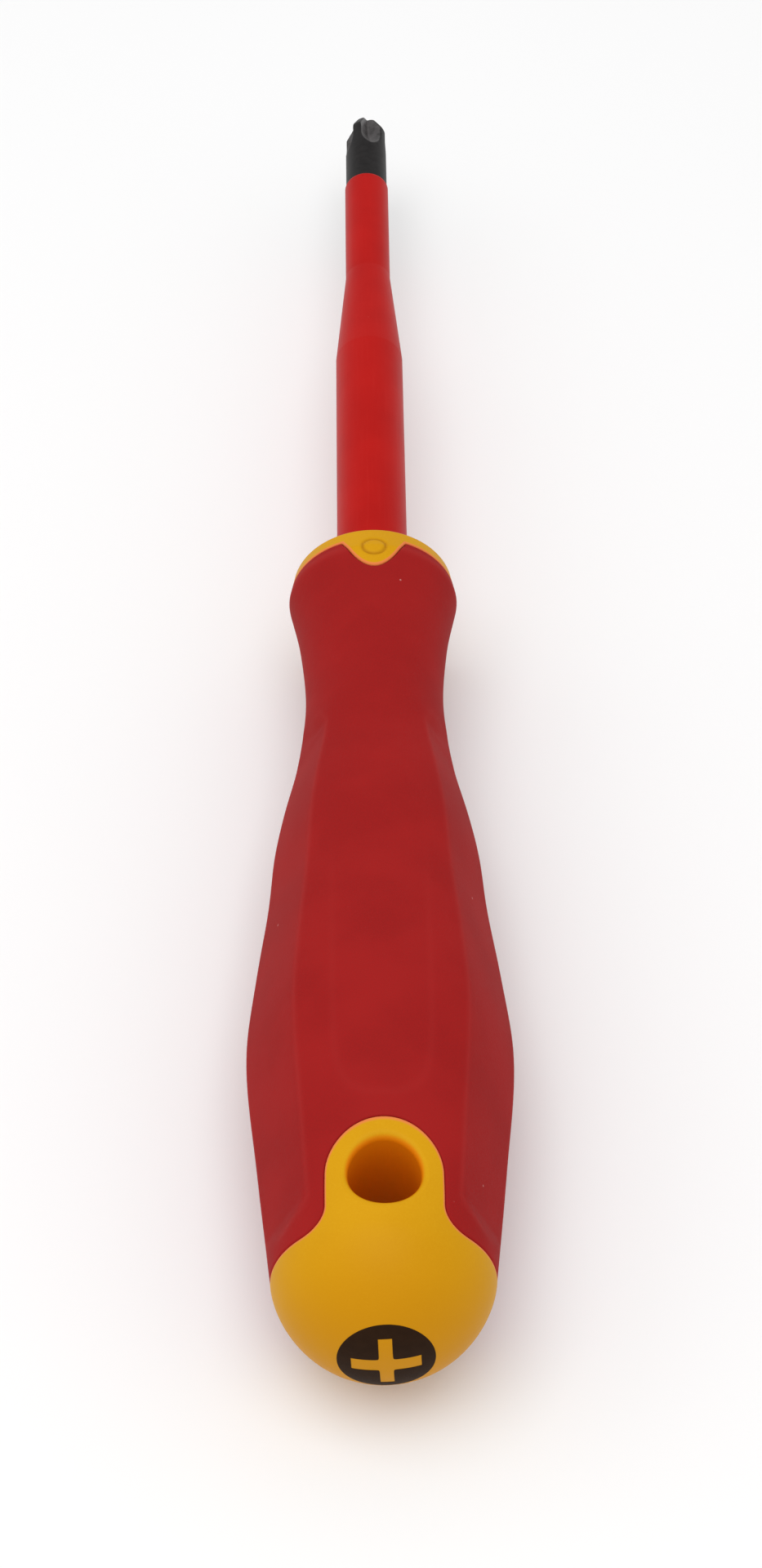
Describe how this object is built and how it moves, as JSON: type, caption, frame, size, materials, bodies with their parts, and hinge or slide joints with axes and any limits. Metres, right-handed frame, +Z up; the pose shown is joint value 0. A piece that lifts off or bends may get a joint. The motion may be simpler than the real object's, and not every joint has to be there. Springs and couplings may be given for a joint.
{
  "type": "insulated screwdriver",
  "caption": "Insulated cross-head screwdriver: black steel tip, slim red insulated blade, swelling soft red grip, hard yellow collar and domed butt with a hanging hole.",
  "frame": {"origin": "bottom centre of the bounding box: midway along the tool, under its axis, at the level of the belly's underside", "axes": "+Y along the blade towards the tip, +Z up along the hanging hole, +X to the right seen from the butt"},
  "size_m": [0.031, 0.2196, 0.0293],
  "materials": {
    "blade_steel": "black phosphate, satin",
    "sleeve_plastic": "satin moulded",
    "core_plastic": "satin moulded",
    "grip_rubber": "matt, fine grain"
  },
  "bodies": {
    "root": {"blade": "blade_steel", "blade_insulation": "sleeve_plastic", "handle_core": "core_plastic", "soft_grip": "grip_rubber"}
  },
  "joints": []
}
